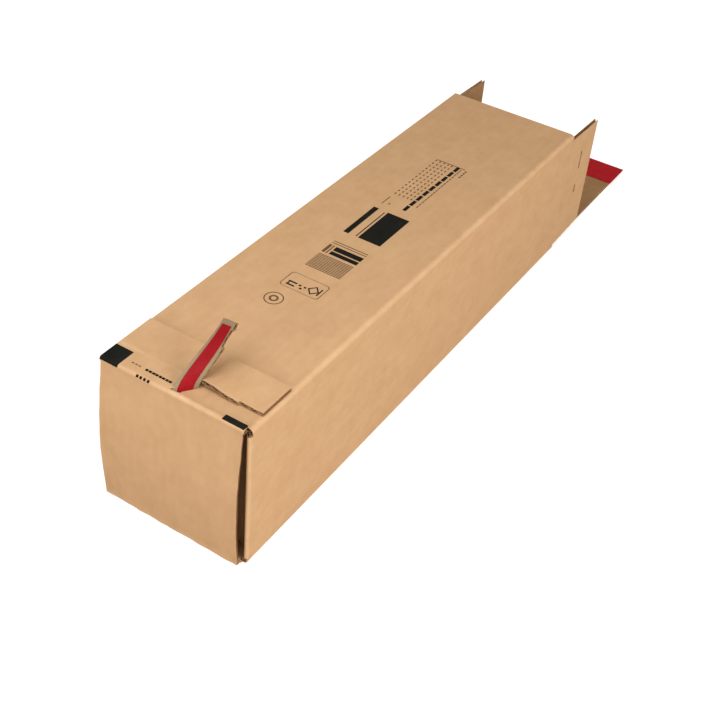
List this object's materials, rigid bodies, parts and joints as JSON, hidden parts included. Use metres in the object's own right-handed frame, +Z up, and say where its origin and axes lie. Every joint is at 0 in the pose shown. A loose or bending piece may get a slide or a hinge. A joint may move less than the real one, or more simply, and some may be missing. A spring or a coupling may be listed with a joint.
{
  "type": "cardboard mailing tube",
  "caption": "Square mailing tube folded from corrugated board: near end glued shut with its tear strip half torn out, far end open with its flaps folded out.",
  "frame": {"origin": "centre of the bottom panel's underside, on the surface that the tube lies on", "axes": "+X across the tube, +Y along it from the closed, torn end to the open end, +Z up"},
  "size_m": [0.111, 0.6057, 0.1489],
  "materials": {
    "board": "matte",
    "tape": "satin",
    "adhesive": "satin",
    "liner": "satin"
  },
  "bodies": {
    "tube": {"carton": "board", "tear_tape": "tape", "near_adhesive": "adhesive"},
    "end_panel": {"end_panel": "board"},
    "closure_tongue": {"closure_tongue": "board", "far_adhesive": "adhesive", "release_liner": "liner"},
    "left_dust_flap": {"left_dust_flap": "board"},
    "right_dust_flap": {"right_dust_flap": "board"}
  },
  "joints": [
    {"name": "end_panel_fold", "type": "hinge", "parent": "tube", "child": "end_panel", "pos_m": [0, 0.2183, 0.003], "axis": [1, 0, 0], "range_deg": [0, 90]},
    {"name": "tongue_fold", "type": "hinge", "parent": "end_panel", "child": "closure_tongue", "pos_m": [0, 0.327, 0.003], "axis": [1, 0, 0], "range_deg": [0, 90]},
    {"name": "left_dust_fold", "type": "hinge", "parent": "tube", "child": "left_dust_flap", "pos_m": [-0.0525, 0.215, 0.0555], "axis": [0, 0, -1], "range_deg": [0, 90]},
    {"name": "right_dust_fold", "type": "hinge", "parent": "tube", "child": "right_dust_flap", "pos_m": [0.0525, 0.215, 0.0555], "axis": [0, 0, 1], "range_deg": [0, 90]}
  ]
}
